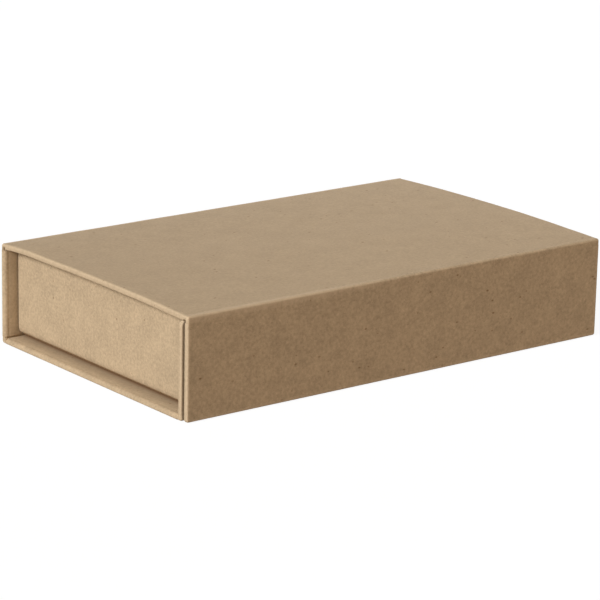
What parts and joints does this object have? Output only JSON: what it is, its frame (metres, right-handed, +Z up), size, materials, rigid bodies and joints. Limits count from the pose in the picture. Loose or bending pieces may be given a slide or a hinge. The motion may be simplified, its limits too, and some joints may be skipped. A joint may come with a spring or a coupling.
{
  "type": "magnetic gift box",
  "caption": "Flat kraft gift box of the book kind: a hinged lid with a front flap that closes on hidden magnets, folded round recessed end walls.",
  "frame": {"origin": "middle of the footprint, on the surface the box stands on", "axes": "+X along the box's length, the front flap faces -Y and the spine +Y, +Z up"},
  "size_m": [0.225, 0.139, 0.0463],
  "materials": {
    "kraft_outer": "matt uncoated kraft paper, fine fibres",
    "kraft_lining": "matt uncoated kraft paper, fine fibres",
    "grey_board": "raw grey board",
    "tab_card": "kraft-faced card",
    "tape": "double-sided tissue tape",
    "magnet": "nickel-plated magnet"
  },
  "bodies": {
    "box": {"base_board": "grey_board", "base_wrap": "kraft_outer", "base_liner": "kraft_lining", "spine_board": "grey_board", "spine_wrap": "kraft_outer", "spine_liner": "kraft_lining", "front_wall_board": "grey_board", "front_wall_wrap": "kraft_outer", "front_wall_liner": "kraft_lining", "left_end_board": "grey_board", "left_end_wrap": "kraft_outer", "left_end_liner": "kraft_lining", "right_end_board": "grey_board", "right_end_wrap": "kraft_outer", "right_end_liner": "kraft_lining", "front_floor_fold": "kraft_outer", "rear_floor_fold": "kraft_outer", "front_wall_magnets": "magnet", "left_end_foot": "kraft_lining", "left_front_tab": "tab_card", "left_front_tape": "tape", "left_rear_tab": "tab_card", "left_rear_tape": "tape", "right_end_foot": "kraft_lining", "right_front_tab": "tab_card", "right_front_tape": "tape", "right_rear_tab": "tab_card", "right_rear_tape": "tape"},
    "lid": {"lid_board": "grey_board", "lid_wrap": "kraft_outer", "lid_liner": "kraft_lining", "lid_fold": "kraft_outer"},
    "flap": {"flap_board": "grey_board", "flap_wrap": "kraft_outer", "flap_liner": "kraft_lining", "flap_fold": "kraft_outer", "flap_magnets": "magnet"}
  },
  "joints": [
    {"name": "lid_hinge", "type": "hinge", "parent": "box", "child": "lid", "pos_m": [0, 0.06905, 0.04455], "axis": [-1, 0, 0], "range_deg": [0, 193], "deforming": ["lid_fold"]},
    {"name": "flap_hinge", "type": "hinge", "parent": "lid", "child": "flap", "pos_m": [0, -0.06905, 0.04455], "axis": [-1, 0, 0], "range_deg": [0, 90], "deforming": ["flap_fold"]}
  ]
}
